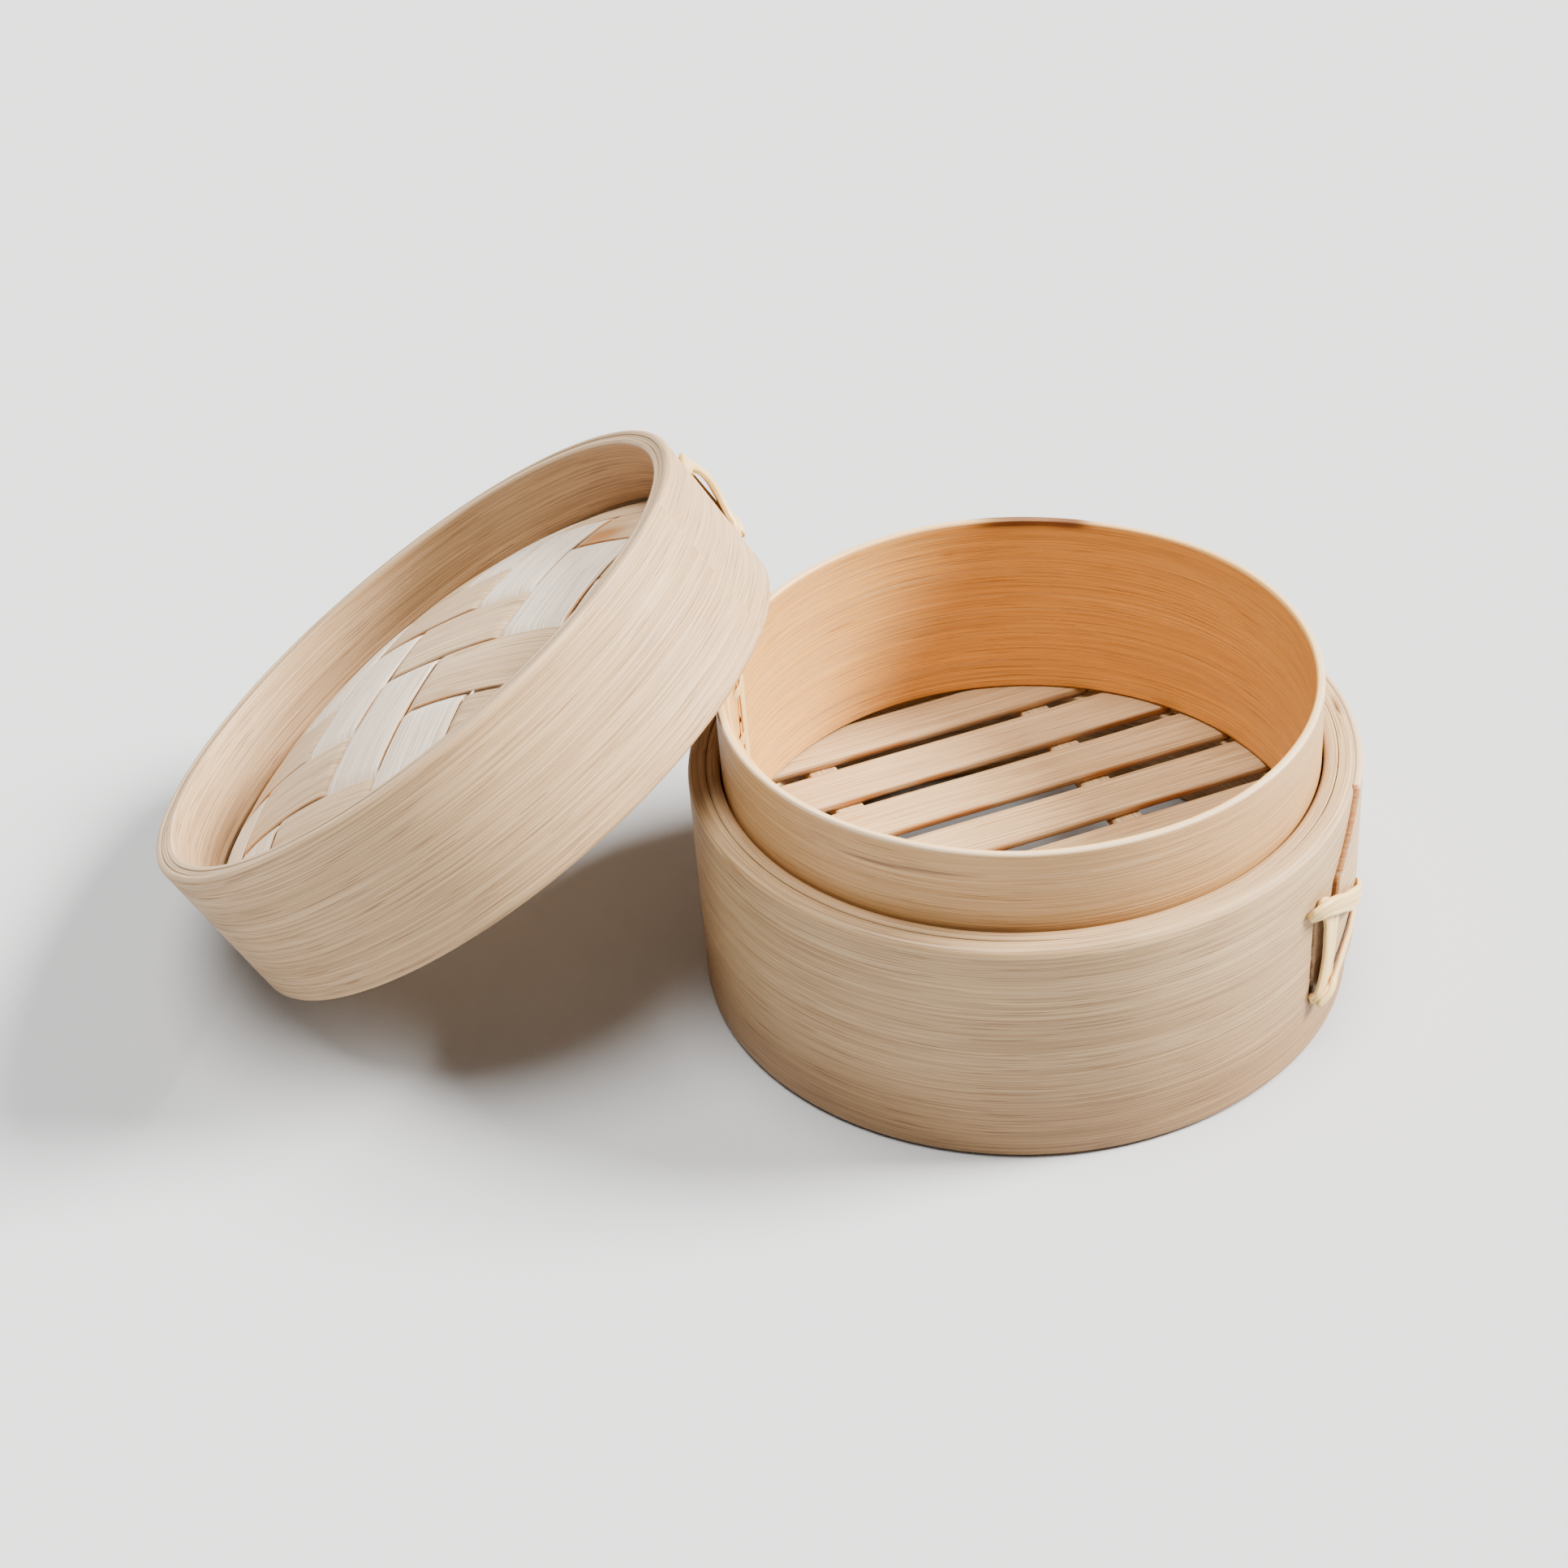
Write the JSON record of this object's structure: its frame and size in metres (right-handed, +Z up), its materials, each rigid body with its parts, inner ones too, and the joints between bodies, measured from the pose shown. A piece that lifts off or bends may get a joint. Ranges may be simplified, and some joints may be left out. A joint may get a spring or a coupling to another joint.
{
  "type": "bamboo steamer basket",
  "caption": "Small round bamboo steamer basket with slatted floor, standing collar and a woven lid leaning against it.",
  "frame": {"origin": "centre of the basket's base, on the table", "axes": "+Z up, out of the basket's mouth; -Y towards the viewer; the lid leans on the -X side"},
  "size_m": [0.1877, 0.1138, 0.0771],
  "materials": {
    "hoop_bamboo": "bare split bamboo, satin, fine lengthwise streaks",
    "collar_bamboo": "honey bamboo with specks, pale planed edge",
    "floor_bamboo": "bare split bamboo, matt",
    "lid_bamboo": "bare split bamboo, satin",
    "weave_pale": "whitish pith side of a thin bamboo strip, matt",
    "weave_tan": "tan skin side of a thin bamboo strip, satin",
    "rattan": "split rattan cane, glossy skin side"
  },
  "bodies": {
    "basket": {"hoop_outer_ply": "hoop_bamboo", "hoop_inner_ply": "hoop_bamboo", "hoop_tie": "rattan", "collar": "collar_bamboo", "collar_stitch": "rattan", "base_ring": "floor_bamboo", "crossbar_1": "floor_bamboo", "crossbar_2": "floor_bamboo", "floor_slat_1": "floor_bamboo", "floor_slat_2": "floor_bamboo", "floor_slat_3": "floor_bamboo", "floor_slat_4": "floor_bamboo", "floor_slat_5": "floor_bamboo", "floor_slat_6": "floor_bamboo", "floor_slat_7": "floor_bamboo", "floor_slat_8": "floor_bamboo"},
    "lid": {"lid_outer_ply": "lid_bamboo", "lid_middle_ply": "lid_bamboo", "lid_upper_ring": "lid_bamboo", "lid_lower_ring": "lid_bamboo", "lid_tie": "rattan", "lid_warp_1": "weave_pale", "lid_warp_2": "weave_pale", "lid_warp_3": "weave_pale", "lid_warp_4": "weave_pale", "lid_warp_5": "weave_pale", "lid_warp_6": "weave_pale", "lid_warp_7": "weave_pale", "lid_warp_8": "weave_pale", "lid_warp_9": "weave_pale", "lid_weft_1": "weave_tan", "lid_weft_2": "weave_tan", "lid_weft_3": "weave_tan", "lid_weft_4": "weave_tan", "lid_weft_5": "weave_tan", "lid_weft_6": "weave_tan", "lid_weft_7": "weave_tan", "lid_weft_8": "weave_tan"}
  },
  "joints": [
    {"name": "lid_lift", "type": "slide", "parent": "basket", "child": "lid", "axis": [-0.5393, 0.0758, 0.8387], "range_m": [0, 0.12]}
  ]
}
